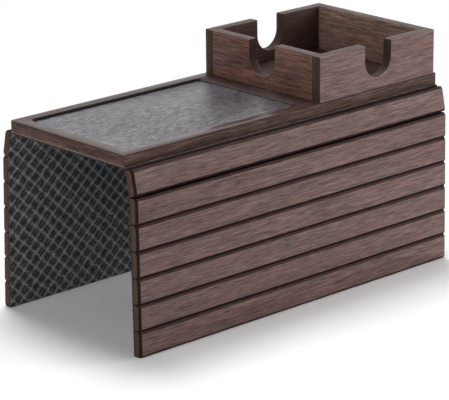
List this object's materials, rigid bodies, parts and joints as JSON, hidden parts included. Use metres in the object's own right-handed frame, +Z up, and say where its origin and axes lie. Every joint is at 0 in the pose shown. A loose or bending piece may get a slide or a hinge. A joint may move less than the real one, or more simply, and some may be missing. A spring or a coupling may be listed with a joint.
{
  "type": "sofa arm tray",
  "caption": "Board with a sunk panel and an open notched box, with curtains of hinged wooden slats that hang down both sides of a sofa arm.",
  "frame": {"origin": "middle of the face under the board that lies on the sofa's arm", "axes": "+X along the sofa's arm towards the box, +Y across the arm to the left-hand curtain, +Z up"},
  "size_m": [0.34, 0.1662, 0.1942],
  "materials": {
    "board_wood": "satin, dark stained",
    "box_wood": "satin, dark stained",
    "slat_wood": "satin, dark stained",
    "grey_panel": "matt grey wood grain",
    "lining_cloth": "non-slip cloth with a diamond lattice"
  },
  "bodies": {
    "tray": {"tray_board": "board_wood", "inlay_panel": "grey_panel", "lining_top": "lining_cloth", "box_front_wall": "box_wood", "box_right_wall": "box_wood", "box_left_wall": "box_wood", "box_back_wall": "box_wood"},
    "right_row_1": {"slat_right_1": "slat_wood", "lining_right_1": "lining_cloth"},
    "right_row_2": {"slat_right_2": "slat_wood", "lining_right_2": "lining_cloth"},
    "right_row_3": {"slat_right_3": "slat_wood", "lining_right_3": "lining_cloth"},
    "right_row_4": {"slat_right_4": "slat_wood", "lining_right_4": "lining_cloth"},
    "right_row_5": {"slat_right_5": "slat_wood", "lining_right_5": "lining_cloth"},
    "right_row_6": {"slat_right_6": "slat_wood", "lining_right_6": "lining_cloth"},
    "right_row_7": {"slat_right_7": "slat_wood", "lining_right_7": "lining_cloth"},
    "left_row_1": {"slat_left_1": "slat_wood", "lining_left_1": "lining_cloth"},
    "left_row_2": {"slat_left_2": "slat_wood", "lining_left_2": "lining_cloth"},
    "left_row_3": {"slat_left_3": "slat_wood", "lining_left_3": "lining_cloth"},
    "left_row_4": {"slat_left_4": "slat_wood", "lining_left_4": "lining_cloth"},
    "left_row_5": {"slat_left_5": "slat_wood", "lining_left_5": "lining_cloth"},
    "left_row_6": {"slat_left_6": "slat_wood", "lining_left_6": "lining_cloth"},
    "left_row_7": {"slat_left_7": "slat_wood", "lining_left_7": "lining_cloth"}
  },
  "joints": [
    {"name": "right_fold_1", "type": "hinge", "parent": "tray", "child": "right_row_1", "pos_m": [0, -0.0677, 0], "axis": [-1, 0, 0], "range_deg": [-45, 78.5]},
    {"name": "right_fold_2", "type": "hinge", "parent": "right_row_1", "child": "right_row_2", "pos_m": [0, -0.07188, -0.02053], "axis": [1, 0, 0], "range_deg": [-12.7, 34.3]},
    {"name": "right_fold_3", "type": "hinge", "parent": "right_row_2", "child": "right_row_3", "pos_m": [0, -0.07217, -0.04148], "axis": [1, 0, 0], "range_deg": [-2, 45]},
    {"name": "right_fold_4", "type": "hinge", "parent": "right_row_3", "child": "right_row_4", "pos_m": [0, -0.07246, -0.06243], "axis": [1, 0, 0], "range_deg": [-2, 45]},
    {"name": "right_fold_5", "type": "hinge", "parent": "right_row_4", "child": "right_row_5", "pos_m": [0, -0.07275, -0.08337], "axis": [1, 0, 0], "range_deg": [-2, 45]},
    {"name": "right_fold_6", "type": "hinge", "parent": "right_row_5", "child": "right_row_6", "pos_m": [0, -0.07305, -0.10432], "axis": [1, 0, 0], "range_deg": [-2, 45]},
    {"name": "right_fold_7", "type": "hinge", "parent": "right_row_6", "child": "right_row_7", "pos_m": [0, -0.07334, -0.12527], "axis": [1, 0, 0], "range_deg": [-2, 45]},
    {"name": "left_fold_1", "type": "hinge", "parent": "tray", "child": "left_row_1", "pos_m": [0, 0.0677, 0], "axis": [1, 0, 0], "range_deg": [-45, 78.5]},
    {"name": "left_fold_2", "type": "hinge", "parent": "left_row_1", "child": "left_row_2", "pos_m": [0, 0.07188, -0.02053], "axis": [-1, 0, 0], "range_deg": [-11.5, 35.5]},
    {"name": "left_fold_3", "type": "hinge", "parent": "left_row_2", "child": "left_row_3", "pos_m": [0, 0.07261, -0.04147], "axis": [-1, 0, 0], "range_deg": [-2, 45]},
    {"name": "left_fold_4", "type": "hinge", "parent": "left_row_3", "child": "left_row_4", "pos_m": [0, 0.07334, -0.0624], "axis": [-1, 0, 0], "range_deg": [-2, 45]},
    {"name": "left_fold_5", "type": "hinge", "parent": "left_row_4", "child": "left_row_5", "pos_m": [0, 0.07407, -0.08334], "axis": [-1, 0, 0], "range_deg": [-2, 45]},
    {"name": "left_fold_6", "type": "hinge", "parent": "left_row_5", "child": "left_row_6", "pos_m": [0, 0.0748, -0.10428], "axis": [-1, 0, 0], "range_deg": [-2, 45]},
    {"name": "left_fold_7", "type": "hinge", "parent": "left_row_6", "child": "left_row_7", "pos_m": [0, 0.07553, -0.12522], "axis": [-1, 0, 0], "range_deg": [-2, 45]}
  ]
}
